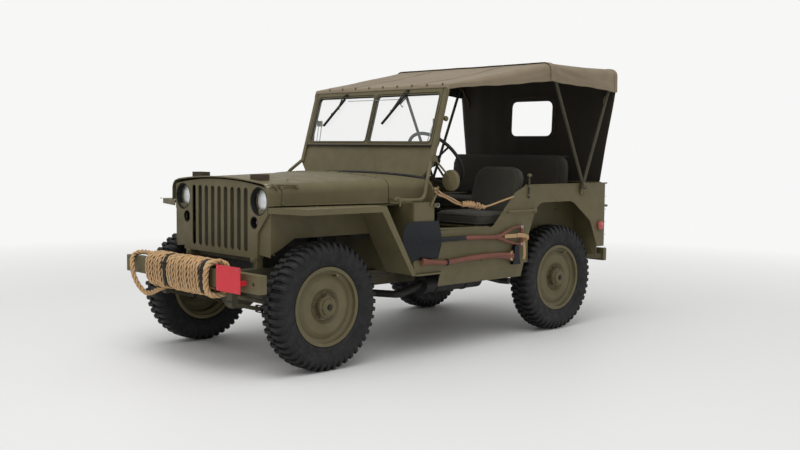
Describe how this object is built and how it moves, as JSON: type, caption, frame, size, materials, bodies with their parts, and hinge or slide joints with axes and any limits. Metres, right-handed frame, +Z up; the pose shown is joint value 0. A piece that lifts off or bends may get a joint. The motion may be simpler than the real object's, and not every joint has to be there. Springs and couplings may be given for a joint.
{
  "type": "army 4x4 car",
  "caption": "Light open military car with four driven wheels, slotted grille, flat fenders, canvas top, rear spare wheel, rope on the bumper and tools on its side.",
  "frame": {"origin": "on the ground under the middle of the car's box, its free rope left out", "axes": "+Z up, the car's front faces -Y, +X to the car's left side"},
  "size_m": [1.5115, 3.31, 1.7995],
  "materials": {
    "olive_paint": "semi-matt olive drab paint with light wear",
    "dark_olive": "matt olive drab paint on the frame and drive, dusty",
    "dark_iron": "dark cast iron",
    "worn_steel": "dark bluish steel with worn edges",
    "tyre_rubber": "charcoal tyre rubber",
    "canvas": "olive khaki cotton canvas",
    "seat_canvas": "dark olive canvas seat covers",
    "webbing": "tan cotton webbing",
    "rope": "tan laid manila rope",
    "wood": "oiled reddish hardwood",
    "block_wood": "painted hardwood",
    "clear_glass": "clear flat glass",
    "lamp_glass": "clear ribbed lamp glass over a silvered bowl",
    "red_paint": "smooth red paint",
    "red_lens": "red reflector glass",
    "black_grip": "black moulded rim"
  },
  "bodies": {
    "chassis": {"chassis_frame": "dark_olive", "front_bumper": "olive_paint", "rear_bumperettes": "olive_paint", "pintle_hook": "dark_olive", "leaf_springs": "dark_olive", "front_axle": "dark_olive", "rear_axle": "dark_olive", "engine_block": "dark_iron", "gearbox_and_shafts": "dark_iron", "exhaust": "dark_iron", "radiator": "dark_olive", "grille": "olive_paint", "front_lamps": "lamp_glass", "fender_left": "olive_paint", "fender_right": "olive_paint", "cowl": "olive_paint", "floor_pan": "olive_paint", "side_panel_left": "olive_paint", "side_panel_right": "olive_paint", "rear_panel": "olive_paint", "windscreen_frame": "olive_paint", "windscreen_glass": "clear_glass", "steering_column": "olive_paint", "seat_frames": "olive_paint", "seat_cushions": "seat_canvas", "canvas_roof": "canvas", "canvas_rear": "canvas", "top_bows": "dark_olive", "spare_carrier": "olive_paint", "spare_wheel": "olive_paint", "spare_tyre": "tyre_rubber", "shovel_blade": "worn_steel", "shovel_handle": "wood", "axe_handle": "wood", "axe_head": "worn_steel", "tool_clamps": "olive_paint", "rope_coil": "rope", "rope_loop": "rope", "front_plate": "red_paint", "mirror": "olive_paint", "grab_handles": "olive_paint", "rear_lamps": "red_lens", "safety_strap": "webbing"},
    "hood": {"hood": "olive_paint", "hood_blocks": "block_wood"},
    "steering_wheel": {"steering_wheel": "black_grip"},
    "knuckle_left": {"knuckle_left": "dark_olive"},
    "knuckle_right": {"knuckle_right": "dark_olive"},
    "tie_rod": {"tie_rod": "dark_olive"},
    "passenger_seat": {"passenger_seat_frame": "olive_paint", "passenger_cushions": "seat_canvas"},
    "wheel_fl": {"wheel_fl": "olive_paint", "tyre_fl": "tyre_rubber"},
    "wheel_fr": {"wheel_fr": "olive_paint", "tyre_fr": "tyre_rubber"},
    "wheel_rl": {"wheel_rl": "olive_paint", "tyre_rl": "tyre_rubber"},
    "wheel_rr": {"wheel_rr": "olive_paint", "tyre_rr": "tyre_rubber"}
  },
  "joints": [
    {"name": "hood_hinge", "type": "hinge", "parent": "chassis", "child": "hood", "pos_m": [0, -0.615, 1.084], "axis": [-1, 0, 0], "range_deg": [0, 105]},
    {"name": "steer_left", "type": "hinge", "parent": "chassis", "child": "knuckle_left", "pos_m": [0.54, -1.131, 0.357], "axis": [0, 0, 1], "range_deg": [-26, 26]},
    {"name": "steer_right", "type": "hinge", "parent": "chassis", "child": "knuckle_right", "pos_m": [-0.54, -1.131, 0.357], "axis": [0, 0, 1], "range_deg": [-26, 26]},
    {"name": "tie_rod_pivot", "type": "hinge", "parent": "knuckle_left", "child": "tie_rod", "pos_m": [0.54, -1.296, 0.357], "axis": [0, 0, 1], "range_deg": [-26, 26]},
    {"name": "steering_wheel_turn", "type": "hinge", "parent": "chassis", "child": "steering_wheel", "pos_m": [0.331, 0.043, 1.158], "axis": [0, 0.7902, 0.6129], "range_deg": [-364, 364]},
    {"name": "passenger_seat_tip", "type": "hinge", "parent": "chassis", "child": "passenger_seat", "pos_m": [0, 0.125, 0.53], "axis": [1, 0, 0], "range_deg": [0, 55]},
    {"name": "spin_fl", "type": "hinge", "parent": "knuckle_left", "child": "wheel_fl", "pos_m": [0.6125, -1.131, 0.357], "axis": [1, 0, 0], "continuous": true},
    {"name": "spin_fr", "type": "hinge", "parent": "knuckle_right", "child": "wheel_fr", "pos_m": [-0.6125, -1.131, 0.357], "axis": [1, 0, 0], "continuous": true},
    {"name": "spin_rl", "type": "hinge", "parent": "chassis", "child": "wheel_rl", "pos_m": [0.6125, 0.901, 0.357], "axis": [1, 0, 0], "continuous": true},
    {"name": "spin_rr", "type": "hinge", "parent": "chassis", "child": "wheel_rr", "pos_m": [-0.6125, 0.901, 0.357], "axis": [1, 0, 0], "continuous": true}
  ],
  "couplings": [
    {"joint": "steer_right", "follows": "steer_left", "ratio": 1},
    {"joint": "tie_rod_pivot", "follows": "steer_left", "ratio": -1},
    {"joint": "steering_wheel_turn", "follows": "steer_left", "ratio": 14}
  ]
}
